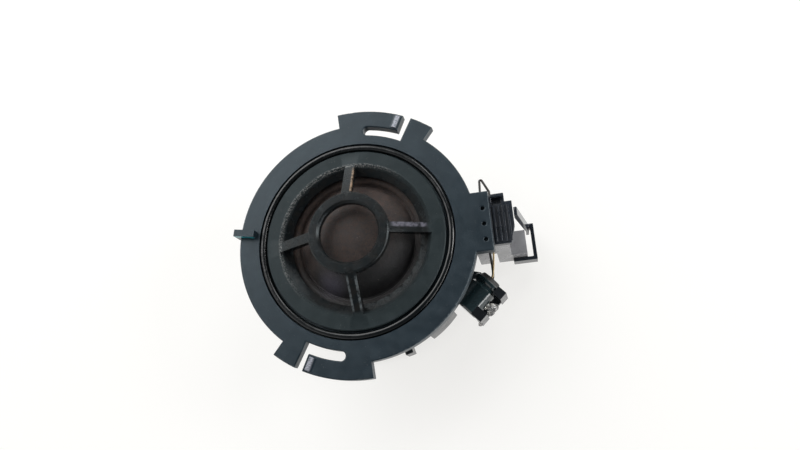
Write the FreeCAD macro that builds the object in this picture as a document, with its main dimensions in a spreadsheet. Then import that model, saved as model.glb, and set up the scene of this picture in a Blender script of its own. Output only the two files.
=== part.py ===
import FreeCAD, Part
import math
import os
import Sketcher
from FreeCAD import Placement, Rotation, Vector

# Round dome tweeter for a car door: bayonet flange, open face plate with a hub on four spokes,
# fabric dome driven by a small pot magnet, rear cover, side connector and series capacitor.
# Frame: origin on the axis in the plane of the flange's back face, +Z out of the front,
# +X towards the connector. Millimetres and degrees.

DIMENSIONS = {
    # bayonet flange
    "flange_radius": 26.0,
    "flange_top": 2.1,
    "tab_radius": 29.3,
    "arm_start": 64.5,
    "arm_sweep": 29.9,
    "slot_inner": 23.6,
    "slot_outer": 25.6,
    "slot_start": 60.9,
    "slot_sweep": 19.0,
    "slot_depth": 4.0,
    "gap_sweep": 3.6,
    "stop_start": 50.4,
    "stop_sweep": 10.5,
    "detent_length": 2.0,
    "detent_inset": 0.4,
    "detent_rise": 0.55,
    "edge_round": 0.25,
    # pad over the connector and its row of three holes
    "pad_reach": 28.8,
    "pad_half_width": 6.35,
    "pad_hole_radius": 0.4,
    "pad_hole_depth": 0.8,
    "pad_hole_reach": 27.4,
    "pad_hole_pitch": 3.3,
    "pad_hole_centre": -0.6,
    # key rib on the side away from the connector
    "key_angle": 170.5,
    "key_width": 1.5,
    "key_inner": 22.4,
    "key_outer": 27.1,
    "key_top": 3.5,
    "mark_depth": 0.15,
    "mark_clear": 0.1,
    # frame barrel behind the flange
    "pilot_radius": 23.3,
    "pilot_length": 3.0,
    "barrel_radius": 21.9,
    "barrel_bottom": -9.5,
    "bore_radius": 18.8,
    "ledge_inner": 17.6,
    "ledge_bottom": -1.1,
    "plate_seat": 1.0,
    "lug_window_low": -3.6,
    "lug_window_high": 4.2,
    "lug_window_floor": -4.2,
    # seal ring and the channel that it lies in
    "channel_inner": 19.7,
    "channel_outer": 21.5,
    "channel_floor": 0.9,
    "seal_centre": 20.6,
    "seal_radius": 0.72,
    # face plate
    "plate_radius": 19.55,
    "plate_top": 2.4,
    "mouth_radius": 16.3,
    "throat_radius": 14.2,
    "throat_top": 1.05,
    "throat_bottom": 0.8,
    "edge_chamfer": 0.2,
    "hub_outer": 8.6,
    "hub_inner": 6.3,
    "hub_top": 7.3,
    "hub_bottom": 5.6,
    "hub_round": 0.3,
    "spoke_width": 2.1,
    "spoke_depth": 1.5,
    # diaphragm
    "dome_radius": 12.5,
    "dome_base": -0.9,
    "dome_apex": 4.9,
    "dome_thickness": 0.2,
    "roll_inner": 12.9,
    "roll_outer": 15.1,
    "hem_outer": 17.0,
    "ring_inner": 15.0,
    "ring_outer": 18.6,
    "ring_bottom": -3.4,
    "former_inner": 12.35,
    "former_outer": 12.47,
    "former_bottom": -7.0,
    "coil_outer": 12.85,
    "coil_top": -4.0,
    "coil_bottom": -6.4,
    # motor
    "yoke_radius": 16.6,
    "yoke_top": -3.4,
    "yoke_bore": 13.2,
    "yoke_floor": -10.9,
    "yoke_bottom": -13.4,
    "pole_radius": 12.05,
    "pole_top": -3.9,
    "pole_bottom": -6.4,
    "magnet_radius": 11.5,
    "vent_radius": 2.5,
    "felt_radius": 9.5,
    "felt_top": -2.4,
    # rear cover
    "cover_radius": 21.6,
    "cover_wall": 1.5,
    "cover_bottom": -20.4,
    "support_inner": 12.6,
    "support_outer": 14.4,
    "support_root": 0.2,
    "hook_outer": 23.1,
    "hook_top": -5.4,
    "hook_sweep": 19.0,
    "hook_angle": -50.0,
    "rib_angle": -74.5,
    "rib_width": 1.8,
    "rib_length": 4.0,
    "window_sweep": 9.0,
    "catch_low": -8.0,
    "catch_high": -6.6,
    "catch_play": 0.5,
    "foot_recess_radius": 15.0,
    "foot_recess_depth": 0.5,
    "foam_radius": 12.3,
    "foam_height": 4.0,
    # connector
    "socket_inner": 24.6,
    "socket_outer": 31.8,
    "socket_low": -4.4,
    "socket_high": 4.5,
    "socket_top": -2.3,
    "socket_bottom": -17.9,
    "nose_outer": 35.3,
    "nose_top": -11.9,
    "notch_start": 27.0,
    "notch_end": 28.8,
    "notch_depth": 2.2,
    "mouth_floor": -9.0,
    "socket_wall": 1.2,
    "cap_outer": 33.4,
    "cap_high": 6.3,
    "cap_top": -0.8,
    "cap_start": 27.0,
    "cap_lean": 1.1,
    "ridge_start": 29.25,
    "ridge_width": 0.4,
    "ridge_pitch": 1.0,
    "ridge_height": 0.35,
    "ridge_low": -4.1,
    "ridge_high": 3.6,
    "lip_width": 0.6,
    "loop_outer": 37.4,
    "loop_bar": 0.8,
    "loop_height": 3.0,
    "loop_low": -5.3,
    "loop_high": 3.1,
    "latch_gap": 0.3,
    "hinge_gap": 0.15,
    "hinge_depth": 2.2,
    "arm_low": 1.2,
    "arm_thickness": 0.7,
    "pin_side": 0.64,
    "pin_pitch": 2.54,
    "pin_centre": 0.9,
    "pin_reach": 28.2,
    "pin_tip": -13.2,
    "lug_top": -3.4,
    "lug_thickness": 0.4,
    "lug_width": 1.4,
    "lug_start": 17.0,
    "lug_end": 27.4,
    # series capacitor beside the barrel
    "can_radius": 3.15,
    "can_length": 8.0,
    "can_azimuth": 42.0,
    "can_height": -10.6,
    "can_start_reach": 20.33,
    "can_start_side": -15.48,
    "bung_length": 0.9,
    "lead_pitch": 2.0,
    "finger_thickness": 1.5,
    "lead_radius": 0.3,
    "solder_radius": 0.45,
    "solder_length": 0.6,
    "tail_radius": 0.1,
    "web_angle": -35.0,
    "web_sweep": 19.0,
    "web_reach": 25.6,
    "shelf_drop": 1.3,
    "shelf_thickness": 1.2,
    "shelf_margin": 0.3,
    "barb_height": 0.9,
    "near_finger_width": 1.9,
    "near_barb": 0.7,
    "far_finger_width": 2.2,
    "far_barb": 1.5,
    "groove_place": 2.0,
    "groove_depth": 0.35,
    # wire link at the cover and the glue
    "link_radius": 0.25,
    "link_bend": 0.28,
    "link_start": 29.0,
    "link_end": 27.1,
    "link_length": 4.7,
    "glue_radius": 1.9,
    "glue_drop_radius": 0.8,
}

doc = FreeCAD.newDocument("tweeter")
sheet = doc.addObject("Spreadsheet::Sheet", "dims")
for row, (alias, value) in enumerate(DIMENSIONS.items(), start=1):
    sheet.set(f"A{row}", alias.replace("_", " "))
    sheet.set(f"B{row}", str(value))
    sheet.setAlias(f"B{row}", alias)
doc.recompute()

# where the capacitor's two leads rise beside the socket: one to a contact pin, one to a lug
PIN_LEAD_REACH = "28.35"
LUG_LEAD_REACH = "27.4"
PIN_LEAD_STOP = -0.72
LUG_LEAD_STOP = -0.9

nodes = []


def size(formula):
    """The value of a formula on the sheet's dimensions, such as 'cap_top - rib_height'."""
    return float(sheet.evalExpression(formula))


def bind(obj, **formulas):
    """Bind properties to formulas; Base_z stands for Placement.Base.z and so on."""
    for name, formula in formulas.items():
        path = f"Placement.Base.{name[-1]}" if name.startswith("Base_") else name
        obj.setExpression(path, on_sheet(formula))


def on_sheet(formula):
    """The same formula as an object outside the sheet has to write it."""
    words = []
    word = ""
    for letter in formula + " ":
        if letter.isalnum() or letter == "_" or (letter == "." and word):
            word += letter
            continue
        words.append(f"dims.{word}" if word in DIMENSIONS else word)
        words.append(letter)
        word = ""
    return "".join(words).strip()


def node(obj, label):
    """Name a finished sub-part; its label becomes its file's name."""
    obj.Label = label
    nodes.append(obj)
    return obj


# ---------------------------------------------------------------- building helpers

def origin_plane(body, role):
    return next(item for item in body.Origin.OriginFeatures if item.Role == role)


def outline(body, name, role, corners, offset=None):
    """A closed straight-sided sketch; each corner is a pair of formulas bound to the sheet."""
    sketch = body.newObject("Sketcher::SketchObject", name)
    sketch.AttachmentSupport = (origin_plane(body, role), [""])
    sketch.MapMode = "FlatFace"
    if offset is not None:
        sketch.setExpression("AttachmentOffset.Base.z", on_sheet(offset))
    spots = [Vector(size(across), size(up), 0) for across, up in corners]
    for index, spot in enumerate(spots):
        sketch.addGeometry(Part.LineSegment(spot, spots[(index + 1) % len(spots)]))
    for index, (across, up) in enumerate(corners):
        following = (index + 1) % len(corners)
        sketch.addConstraint(Sketcher.Constraint("Coincident", index, 2, following, 1))
        spot = spots[index]
        for kind, formula, value in (("DistanceX", across, spot.x), ("DistanceY", up, spot.y)):
            place = sketch.addConstraint(Sketcher.Constraint(kind, -1, 1, index, 1, value))
            sketch.setExpression(f"Constraints[{place}]", on_sheet(formula))
    return sketch


def turned(name, corners):
    """A body turned about Z from an outline of (radius, height) corners."""
    body = doc.addObject("PartDesign::Body", name)
    sketch = outline(body, name + "_outline", "XZ_Plane", corners)
    turn = body.newObject("PartDesign::Revolution", name + "_turn")
    turn.Profile = sketch
    turn.ReferenceAxis = (sketch, ["V_Axis"])
    turn.Angle = 360
    return body


def padded(name, corners, low, high):
    """A body raised from height low to height high over an outline of (x, y) corners."""
    body = doc.addObject("PartDesign::Body", name)
    sketch = outline(body, name + "_outline", "XY_Plane", corners, low)
    pad = body.newObject("PartDesign::Pad", name + "_pad")
    pad.Profile = sketch
    pad.setExpression("Length", on_sheet(f"{high} - ({low})"))
    return body


def box(name, x_low, x_high, y_low, y_high, low, high):
    obj = doc.addObject("Part::Box", name)
    bind(obj, Length=f"{x_high} - ({x_low})", Width=f"{y_high} - ({y_low})", Height=f"{high} - ({low})",
         Base_x=x_low, Base_y=y_low, Base_z=low)
    return obj


def block(name, length, width, height, placement):
    """A box of its own attitude, from the corner at placement."""
    obj = doc.addObject("Part::Box", name)
    bind(obj, Length=length, Width=width, Height=height)
    obj.Placement = placement
    return obj


def about_z(angle):
    return Placement(Vector(), Rotation(Vector(0, 0, 1), angle))


def shifted(x, y, z):
    return Placement(Vector(x, y, z), Rotation())


def disc(name, radius, low, high, reach="0", side="0"):
    obj = doc.addObject("Part::Cylinder", name)
    bind(obj, Radius=radius, Height=f"{high} - ({low})", Base_x=reach, Base_y=side, Base_z=low)
    return obj


def ring(name, inner, outer, low, high):
    return cut(name, disc(name + "_outside", outer, low, high), [disc(name + "_inside", inner, low, high)])


def sector(name, inner, outer, start, sweep, low, high):
    """A slice of a flat ring, from angle start over angle sweep."""
    wedge = doc.addObject("Part::Cylinder", name + "_wedge")
    bind(wedge, Radius=outer, Height=f"{high} - ({low})", Angle=sweep, Base_z=low)
    wedge.Placement.Rotation = Rotation(Vector(0, 0, 1), size(start))
    wedge.setExpression("Placement.Rotation.Angle", on_sheet(start))
    return cut(name, wedge, [disc(name + "_core", inner, f"{low} - 1", f"{high} + 1")])


def fuse(name, shapes):
    obj = doc.addObject("Part::MultiFuse", name)
    obj.Shapes = shapes
    obj.Refine = True
    return obj


def cut(name, base, tools):
    obj = doc.addObject("Part::Cut", name)
    obj.Base = base
    obj.Tool = tools[0] if len(tools) == 1 else fuse(name + "_tools", tools)
    return obj


def rounded(name, base, radius, wanted):
    """Round the edges of base that wanted(edge) picks."""
    doc.recompute()
    obj = doc.addObject("Part::Fillet", name)
    obj.Base = base
    value = size(radius)
    edges = enumerate(base.Shape.Edges, start=1)
    obj.Edges = [(number, value, value) for number, edge in edges if wanted(edge)]
    return obj


def level_edge(edge, height, reach_over):
    """True for an edge that lies wholly at one height, outside the radius reach_over."""
    spots = [edge.valueAt(edge.FirstParameter + share * (edge.LastParameter - edge.FirstParameter))
             for share in (0.0, 0.5, 1.0)]
    return all(abs(spot.z - height) < 1e-4 and math.hypot(spot.x, spot.y) > reach_over for spot in spots)


def wire_path(points, bend):
    """Straight runs through points, joined by tangent arcs of radius bend."""
    edges = []
    start = points[0]
    for before, corner, after in zip(points, points[1:], points[2:]):
        arriving = (corner - before).normalize()
        leaving = (after - corner).normalize()
        turn = arriving.getAngle(leaving)
        trim = bend * math.tan(turn / 2)
        first, last = corner - arriving * trim, corner + leaving * trim
        inward = (leaving - arriving).normalize()
        middle = corner + inward * (bend / math.cos(turn / 2) - bend)
        edges += [Part.LineSegment(start, first).toShape(), Part.Arc(first, middle, last).toShape()]
        start = last
    edges.append(Part.LineSegment(start, points[-1]).toShape())
    return Part.Wire(edges)


def drawn_wire(points, radius, bend):
    """A round wire along wire_path."""
    path = wire_path(points, bend)
    heading = (points[1] - points[0]).normalize()
    section = Part.Wire(Part.makeCircle(radius, points[0], heading))
    return path.makePipeShell([section], True, False)


def feature(name, shape):
    obj = doc.addObject("Part::Feature", name)
    obj.Shape = shape
    obj.Placement = Placement()
    return obj


# ---------------------------------------------------------------- front frame

def bayonet_side(name, turn):
    """One flexing arm with its detent and one stop tab: pieces to add and pieces to take away."""
    start, gap, stop = f"arm_start + {turn}", f"slot_start + {turn}", f"stop_start + {turn}"
    added = [
        sector(name + "_arm", "channel_outer", "tab_radius", start, "arm_sweep", "0", "flange_top"),
        sector(name + "_stop", "channel_outer", "tab_radius", stop, "stop_sweep", "0", "flange_top"),
        detent(name + "_detent", float(turn)),
    ]
    end_angle = f"(slot_start + slot_sweep + {turn})"
    middle = "(slot_inner + slot_outer) / 2"
    above = "flange_top + 1"
    removed = [
        sector(name + "_slot", "slot_inner", "slot_outer", gap, "slot_sweep", "-slot_depth", above),
        sector(name + "_gap", "slot_inner", "tab_radius + 1", gap, "gap_sweep", "-slot_depth", above),
        disc(name + "_slot_end", "(slot_outer - slot_inner) / 2", "-slot_depth", above,
             f"{middle} * cos({end_angle} * 1deg)", f"{middle} * sin({end_angle} * 1deg)"),
    ]
    return added, removed


def detent(name, turn):
    """The ramp on an arm's free end, its two slopes running around the flange."""
    body = doc.addObject("PartDesign::Body", name)
    side = outline(body, name + "_outline", "XZ_Plane", [
        ("detent_inset", "flange_top - 0.2"), ("detent_inset", "flange_top + 0.1"),
        ("detent_inset + 0.3", "flange_top + detent_rise"),
        ("detent_length * 0.45", "flange_top + detent_rise"), ("detent_length", "flange_top"),
        ("detent_length", "flange_top - 0.2"),
    ], "slot_outer + detent_inset")
    pad = body.newObject("PartDesign::Pad", name + "_pad")
    pad.Profile = side
    pad.setExpression("Length", on_sheet("tab_radius - slot_outer - 0.9"))
    body.Placement = about_z(size("arm_start") + turn + 90)
    return body


def build_front_frame():
    shell = turned("frame_shell", [
        ("ledge_inner", "ledge_bottom"), ("bore_radius", "ledge_bottom"),
        ("bore_radius", "barrel_bottom"), ("barrel_radius", "barrel_bottom"),
        ("barrel_radius", "-pilot_length"), ("pilot_radius", "-pilot_length"), ("pilot_radius", "0"),
        ("flange_radius", "0"), ("flange_radius", "flange_top"), ("channel_outer", "flange_top"),
        ("channel_outer", "channel_floor"), ("channel_inner", "channel_floor"),
        ("channel_inner", "plate_seat"), ("ledge_inner", "plate_seat"),
    ])
    pad = box("pad", "channel_outer + 1", "pad_reach", "-pad_half_width", "pad_half_width", "0", "flange_top")
    added, removed = [shell, pad], []
    for name, turn in (("upper", "0"), ("lower", "180")):
        more, less = bayonet_side(name, turn)
        added += more
        removed += less
    rib_corner = shifted(size("key_inner"), -size("key_width") / 2, 0)
    added.append(block("key_rib", "key_outer - key_inner", "key_width", "key_top",
                       about_z(size("key_angle")).multiply(rib_corner)))
    removed.append(mark_block("mark_recess"))
    for number in range(3):
        added.append(sector(f"catch_{number}", "barrel_radius - 0.2", "hook_outer - catch_play / 2",
                            f"hook_angle - window_sweep / 2 + catch_play + {number} * 120",
                            "window_sweep - 2 * catch_play", "catch_low", "catch_high"))
    for number in range(3):
        side = f"pad_hole_centre + ({number} - 1) * pad_hole_pitch"
        removed.append(disc(f"pad_hole_{number}", "pad_hole_radius", "flange_top - pad_hole_depth",
                            "flange_top + 1", "pad_hole_reach", side))
    # the two lugs leave the barrel through a window under the pad
    removed.append(box("lug_window", "ledge_inner - 1", "pilot_radius + 1", "lug_window_low",
                       "lug_window_high", "lug_window_floor", "-pilot_length - 0.2"))
    solid = cut("frame_body", fuse("frame_whole", added), removed)
    node(rounded("frame_rounded", solid, "edge_round", is_softened), "front_frame")


def is_softened(edge):
    """True for the top edges that are rounded: all but the tabs' short ends and the raised steps."""
    tab_height = size("tab_radius - flange_radius")
    long_enough = edge.Length > (1.0 if isinstance(edge.Curve, Part.Circle) else tab_height + 0.1)
    outside = size("slot_inner") - 0.6
    return long_enough and level_edge(edge, size("flange_top"), outside) and not is_step(edge)


def is_step(edge):
    """True where a raised detent or the key rib stands on the flange's top face."""
    middle = edge.valueAt((edge.FirstParameter + edge.LastParameter) / 2)
    angle = math.degrees(math.atan2(middle.y, middle.x)) % 180
    reach = math.hypot(middle.x, middle.y)
    on_detent = size("arm_start") - 1 < angle < size("arm_start") + 5 and reach > size("slot_outer") + 0.3
    on_key = abs(angle - size("key_angle")) < 4 and middle.x < 0
    return on_detent or on_key


def mark_block(name):
    """The dab of paint that fills a shallow recess in the side of the key rib."""
    corner = shifted(size("key_inner + mark_clear"), size("key_width / 2 - mark_depth"),
                     size("flange_top + mark_clear"))
    return block(name, "key_outer - key_inner - 2 * mark_clear", "mark_depth",
                 "key_top - flange_top - 2 * mark_clear", about_z(size("key_angle")).multiply(corner))


def build_coding_mark():
    node(mark_block("mark"), "coding_mark")


def build_seal_ring():
    seal = doc.addObject("Part::Torus", "seal")
    bind(seal, Radius1="seal_centre", Radius2="seal_radius", Base_z="channel_floor + seal_radius")
    node(seal, "seal_ring")


# ---------------------------------------------------------------- face plate

def build_face_plate():
    collar = turned("collar", [
        ("mouth_radius + edge_chamfer", "plate_top"), ("plate_radius - edge_chamfer", "plate_top"),
        ("plate_radius", "plate_top - edge_chamfer"), ("plate_radius", "plate_seat"),
        ("mouth_radius + 0.9", "plate_seat"), ("throat_radius + 1.2", "throat_bottom"),
        ("throat_radius", "throat_bottom"), ("throat_radius", "throat_top"),
        ("mouth_radius", "plate_top - edge_chamfer"),
    ])
    hub = turned("hub", [
        ("hub_inner", "hub_bottom"), ("hub_outer", "hub_bottom"), ("hub_outer", "hub_top - hub_round"),
        ("hub_outer - hub_round", "hub_top"), ("hub_inner + 0.5", "hub_top"),
        ("hub_inner", "hub_top - 0.5"),
    ])
    spoke = doc.addObject("PartDesign::Body", "spoke")
    side = outline(spoke, "spoke_outline", "XZ_Plane", [
        ("hub_inner + 0.6", "hub_top - 0.2"), ("hub_outer - 0.2", "hub_top - 0.2"),
        ("mouth_radius + 0.4", "plate_top"), ("mouth_radius + 0.4", "plate_top - spoke_depth"),
        ("mouth_radius - 0.9", "plate_top - spoke_depth"), ("hub_outer - 0.2", "hub_bottom + 0.1"),
        ("hub_inner + 0.6", "hub_bottom + 0.1"),
    ])
    slab = spoke.newObject("PartDesign::Pad", "spoke_pad")
    slab.Profile = side
    slab.SideType = "Symmetric"
    slab.setExpression("Length", "dims.spoke_width")
    pattern = spoke.newObject("PartDesign::PolarPattern", "spoke_pattern")
    pattern.Originals = [slab]
    pattern.Axis = (side, ["V_Axis"])
    pattern.Angle = 360
    pattern.Occurrences = 4
    spoke.Tip = pattern
    node(fuse("face_whole", [collar, hub, spoke]), "face_plate")


# ---------------------------------------------------------------- diaphragm

def shell_of_arcs(name, radius, base, apex, thickness):
    """A thin spherical cap turned about Z."""
    height = apex - base
    ball = (radius ** 2 + height ** 2) / (2 * height)
    centre = apex - ball
    inside = ball - thickness
    rim_inside = math.sqrt(inside ** 2 - (base - centre) ** 2)
    half = math.atan2(radius, base - centre) / 2
    half_inside = math.atan2(rim_inside, base - centre) / 2
    top, top_in = Vector(0, 0, apex), Vector(0, 0, apex - thickness)
    rim, rim_in = Vector(radius, 0, base), Vector(rim_inside, 0, base)
    flank = Vector(ball * math.sin(half), 0, centre + ball * math.cos(half))
    flank_in = Vector(inside * math.sin(half_inside), 0, centre + inside * math.cos(half_inside))
    outer, inner = Part.Arc(top, flank, rim), Part.Arc(rim_in, flank_in, top_in)
    edges = [outer.toShape(), Part.LineSegment(rim, rim_in).toShape(), inner.toShape(),
             Part.LineSegment(top_in, top).toShape()]
    face = Part.Face(Part.Wire(edges))
    return feature(name, face.revolve(Vector(), Vector(0, 0, 1), 360))


def build_diaphragm():
    node(shell_of_arcs("dome_cap", size("dome_radius"), size("dome_base"), size("dome_apex"),
                       size("dome_thickness")), "dome")
    node(feature("surround_roll", surround_shape()), "surround")
    node(ring("former", "former_inner", "former_outer", "former_bottom", "dome_base - dome_thickness"),
         "voice_coil_former")
    node(ring("winding", "former_outer", "coil_outer", "coil_bottom", "coil_top"), "voice_coil")
    rest = ring("mounting_ring", "ring_inner", "ring_outer", "ring_bottom", "ledge_bottom")
    grooves = [box(f"tail_groove_{number}", "ring_inner - 1", "ring_outer + 1", f"{lug_side(number)} - 0.2",
                   f"{lug_side(number)} + 0.2", "ring_bottom - 1", "ring_bottom + 0.3") for number in (0, 1)]
    node(cut("mounting_ring_grooved", rest, grooves), "diaphragm_ring")


def lug_side(number):
    """Sideways place of contact pin, lug and coil tail 0 or 1."""
    return f"(pin_centre + ({number} - 0.5) * pin_pitch)"


def surround_shape():
    """Inner hem under the dome's rim, one half roll, and the outer hem on the mounting ring."""
    base, skin = size("dome_base"), size("dome_thickness")
    low = base - skin / 2
    inner, start, end, outer = size("former_inner"), size("roll_inner"), size("roll_outer"), size("hem_outer")
    middle, roll = (start + end) / 2, (end - start) / 2

    def spot(reach, height):
        return Vector(reach, 0, height)

    upper = [spot(inner, low + skin / 2), spot(start, low + skin / 2), spot(end, low + skin / 2),
             spot(outer, low + skin / 2)]
    lower = [spot(outer, low - skin / 2), spot(end - skin, low - skin / 2),
             spot(start + skin, low - skin / 2), spot(inner, low - skin / 2)]
    crown = Part.Arc(upper[1], spot(middle, upper[1].z + roll), upper[2])
    hollow = Part.Arc(lower[1], spot(middle, upper[1].z + roll - skin), lower[2])
    edges = [Part.LineSegment(upper[0], upper[1]), crown, Part.LineSegment(upper[2], upper[3]),
             Part.LineSegment(upper[3], lower[0]), Part.LineSegment(lower[0], lower[1]), hollow,
             Part.LineSegment(lower[2], lower[3]), Part.LineSegment(lower[3], upper[0])]
    face = Part.Face(Part.Wire([edge.toShape() for edge in edges]))
    return face.revolve(Vector(), Vector(0, 0, 1), 360)


# ---------------------------------------------------------------- motor and rear

def build_motor():
    node(turned("yoke", [
        ("vent_radius", "yoke_bottom"), ("yoke_radius - 0.4", "yoke_bottom"),
        ("yoke_radius", "yoke_bottom + 0.4"),
        ("yoke_radius", "yoke_top"), ("yoke_bore", "yoke_top"), ("yoke_bore", "yoke_floor"),
        ("vent_radius", "yoke_floor"),
    ]), "yoke_cup")
    node(ring("magnet_disc", "vent_radius + 0.5", "magnet_radius", "yoke_floor", "pole_bottom"), "magnet")
    node(turned("pole", [
        ("vent_radius", "pole_bottom"), ("pole_radius", "pole_bottom"), ("pole_radius", "pole_top"),
        ("vent_radius + 0.5", "pole_top"), ("vent_radius", "pole_top - 0.5"),
    ]), "pole_plate")
    node(ring("felt", "vent_radius", "felt_radius", "pole_top", "felt_top"), "pole_felt")
    node(disc("foam", "foam_radius", "cover_bottom + cover_wall", "cover_bottom + cover_wall + foam_height"),
         "chamber_pad")


def build_rear_cover():
    cup = turned("cup", [
        ("0", "cover_bottom + foot_recess_depth"),
        ("foot_recess_radius - foot_recess_depth", "cover_bottom + foot_recess_depth"),
        ("foot_recess_radius", "cover_bottom"), ("cover_radius - 0.8", "cover_bottom"),
        ("cover_radius", "cover_bottom + 0.8"),
        ("cover_radius", "barrel_bottom"), ("cover_radius - cover_wall", "barrel_bottom"),
        ("cover_radius - cover_wall", "cover_bottom + cover_wall"), ("0", "cover_bottom + cover_wall"),
    ])
    pieces = [cup, ring("support", "support_inner", "support_outer",
                        "cover_bottom + cover_wall - support_root", "yoke_bottom")]
    tools = []
    for number in range(3):
        turn = f"hook_angle - hook_sweep / 2 + {number} * 120"
        pieces.append(sector(f"hook_{number}", "cover_radius - 0.2", "hook_outer", turn, "hook_sweep",
                             "cover_bottom + 0.2", "hook_top"))
        # the hook springs clear of the barrel and holds on by its window
        tools.append(sector(f"hook_relief_{number}", "cover_radius - 0.3", "barrel_radius + 0.15",
                            f"{turn} - 1", "hook_sweep + 2", "barrel_bottom", "hook_top + 1"))
        tools.append(sector(f"hook_window_{number}", "cover_radius - 1", "hook_outer + 1",
                            f"hook_angle - window_sweep / 2 + {number} * 120", "window_sweep",
                            "catch_low - 0.15", "catch_high + 0.2"))
        foot = shifted(size("cover_radius") - 0.3, -size("rib_width") / 2, size("cover_bottom") + 0.2)
        pieces.append(block(f"cover_rib_{number}", "hook_outer - cover_radius + 1.2", "rib_width",
                            "rib_length", about_z(size("rib_angle") + 120 * number).multiply(foot)))
    pieces += cradle_pieces()
    seat = doc.addObject("Part::Cylinder", "can_seat")
    bind(seat, Radius="can_radius + 0.05", Height="can_length + 2")
    seat.Placement = beside_can(-1, 0, 0).multiply(Placement(Vector(), lying_along_x()))
    tools.append(seat)
    node(cut("cover_whole", fuse("cover_added", pieces), tools), "rear_cover")


def can_frame():
    """Placement of the capacitor: its axis along local X, level, beginning at its far end."""
    start = Vector(size("can_start_reach"), size("can_start_side"), size("can_height"))
    return Placement(start, Rotation(Vector(0, 0, 1), size("can_azimuth")))


def lying_along_x():
    return Rotation(Vector(0, 0, 1), Vector(1, 0, 0))


def beside_can(along, across, up):
    """Placement at a spot measured from the capacitor's axis."""
    return can_frame().multiply(shifted(along, across, up))


def cradle_pieces():
    """A shelf on a web from the cover, under the capacitor, and a barbed finger at each end of it."""
    radius, thick = size("can_radius"), size("finger_thickness")
    low = -radius - size("shelf_drop")
    across = -radius - 0.1 - thick
    shelf_corner = beside_can(size("shelf_margin"), across + 0.4, low)
    pieces = [
        sector("cradle_web", "cover_radius - 0.3", "web_reach", "web_angle", "web_sweep",
               "can_height - can_radius - shelf_drop", "can_height - can_radius - 0.1"),
        block("cradle_shelf", "can_length - 0.2", "can_radius + 3.2", "shelf_thickness", shelf_corner),
    ]
    near = size("can_length") - 1.5
    for name, along in (("far", 0.1), ("near", near)):
        pieces.append(block(f"cradle_finger_{name}", f"{name}_finger_width", "finger_thickness",
                            "can_radius * 1.9", beside_can(along, across, low + 0.1)))
        pieces.append(block(f"cradle_barb_{name}", f"{name}_finger_width",
                            f"finger_thickness + {name}_barb", "barb_height",
                            beside_can(along, across, low + radius * 1.9)))
    return pieces


# ---------------------------------------------------------------- connector

def build_connector():
    body = box("socket_main", "socket_inner", "socket_outer", "socket_low", "socket_high",
               "socket_bottom", "socket_top")
    nose = padded("socket_nose", [
        ("socket_outer - 0.5", "socket_low"), ("nose_outer", "socket_low"), ("nose_outer", "arm_low - 0.3"),
        ("socket_outer - 0.5", "arm_low - 0.3"),
    ], "socket_bottom", "nose_top")
    notch = box("wire_notch", "notch_start", "notch_end", "socket_low - 1", "socket_low + notch_depth",
                "socket_bottom - 1", "socket_top + 1")
    mouth = box("plug_mouth", "socket_inner + socket_wall", "socket_outer - socket_wall",
                "socket_low + notch_depth + 0.6", "socket_high - socket_wall + 0.1",
                "socket_bottom - 1", "mouth_floor")
    body_tools = [notch, mouth]
    for number, end in ((0, "lug_end + 0.1"), (1, "pin_reach")):
        body_tools.append(pin_box(f"pin_hole_{number}", number, "mouth_floor - 1", "socket_top + 1"))
        body_tools.append(lug_box(f"lug_slot_{number}", number, "socket_inner - 1", end, "0.05"))
    for name, reach in (("pin_channel", PIN_LEAD_REACH), ("lug_channel", LUG_LEAD_REACH)):
        body_tools.append(box(name, f"{reach} - solder_radius - 0.05", f"{reach} + solder_radius + 0.05",
                              "socket_low + notch_depth - 0.5", "-0.7", "lug_top - 0.05", "socket_top + 1"))
    node(cut("socket", fuse("socket_whole", [body, nose]), body_tools), "connector_body")

    node(build_cap(), "connector_cover")
    build_latch()
    pins = doc.addObject("Part::Compound", "pins")
    pins.Links = [pin_box(f"pin_{number}", number, "pin_tip", "cap_top - 1") for number in (0, 1)]
    node(pins, "contact_pins")


def pin_box(name, number, low, high):
    return box(name, "pin_reach - pin_side / 2", "pin_reach + pin_side / 2",
               f"{lug_side(number)} - pin_side / 2", f"{lug_side(number)} + pin_side / 2", low, high)


def lug_box(name, number, start, end, play="0"):
    half = f"(lug_width / 2 + {play})"
    return box(name, start, end, f"{lug_side(number)} - {half}", f"{lug_side(number)} + {half}",
               f"lug_top - lug_thickness - {play}", f"lug_top + {play}")


def build_cap():
    """The cover on the socket: a tongue under the pad, a stepped plate, four ridges and a lip."""
    tongue = box("cap_tongue", "socket_inner", "pad_reach + 0.1", "socket_low", "socket_high",
                 "socket_top", "0")
    plate = padded("cap_plate", [
        ("cap_start", "socket_low - 0.15"), ("cap_outer - cap_lean", "socket_low - 0.15"),
        ("cap_outer", "ridge_low + 3.3"), ("cap_outer", "socket_high"),
        ("socket_outer + 0.1", "socket_high"), ("socket_outer + 0.1", "cap_high"), ("cap_start", "cap_high"),
    ], "socket_top", "cap_top")
    added = [tongue, plate]
    for number in range(4):
        start = f"ridge_start + {number} * ridge_pitch"
        added.append(box(f"cap_ridge_{number}", start, f"{start} + ridge_width", "ridge_low", "ridge_high",
                         "cap_top - 0.1", "cap_top + ridge_height"))
    added.append(box("cap_lip", "pad_reach + 0.3", "socket_outer + 0.1", "cap_high - lip_width", "cap_high",
                     "cap_top - 0.1", "cap_top + ridge_height"))
    recess = box("cap_recess", "pad_reach + 0.4", "socket_outer - lip_width", "socket_high - 0.4",
                 "cap_high - lip_width - 0.1", "cap_top - 0.9", "cap_top + 1")
    holes = [pin_box(f"cap_pin_hole_{number}", number, "socket_top - 1", "1") for number in (0, 1)]
    return cut("cap", fuse("cap_whole", added), [recess] + holes)


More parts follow.
